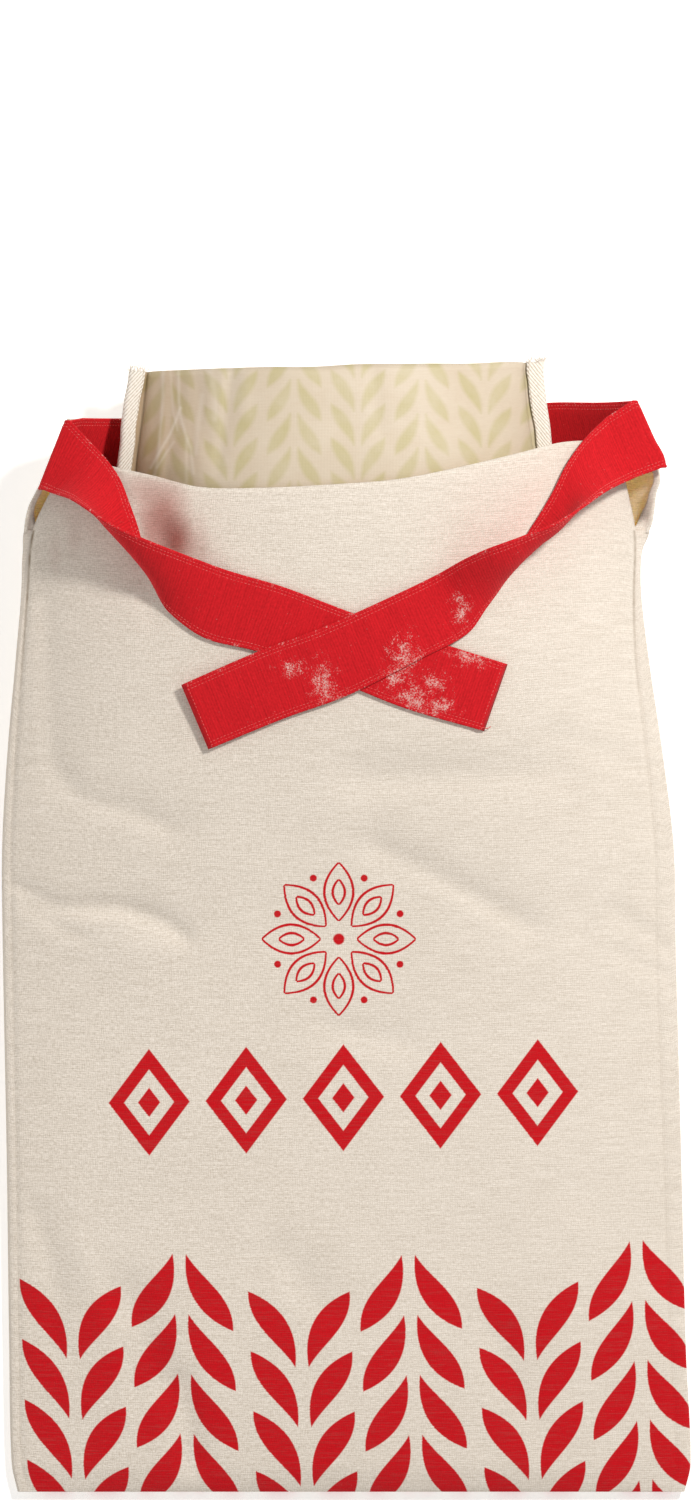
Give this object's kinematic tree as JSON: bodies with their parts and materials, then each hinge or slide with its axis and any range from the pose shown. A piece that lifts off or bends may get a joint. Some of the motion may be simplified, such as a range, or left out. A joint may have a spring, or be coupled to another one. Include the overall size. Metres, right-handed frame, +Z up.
{
  "type": "linen bread bag",
  "caption": "Linen bread bag lying on its back, with a waxed cloth liner pulled up in its open mouth and a red tape tie crossed on the front.",
  "frame": {"origin": "on the surface that the bag lies on, below the middle of its bounding box", "axes": "+Z up, out of the bag's front; +Y from the bag's bottom toward its mouth; +X to the right as the front is seen"},
  "size_m": [0.2862, 0.4684, 0.0897],
  "materials": {
    "linen": "plain-woven natural linen with slubs and a red leaf print",
    "waxed_cloth": "waxed cotton with a pale leaf print, soft sheen",
    "binding_tape": "white herringbone cotton tape",
    "red_tape": "ribbed red cotton, doubled and stitched along its edges"
  },
  "bodies": {
    "root": {"linen_bag": "linen", "waxed_liner": "waxed_cloth", "binding_left": "binding_tape", "binding_right": "binding_tape", "tie": "red_tape"}
  },
  "joints": []
}
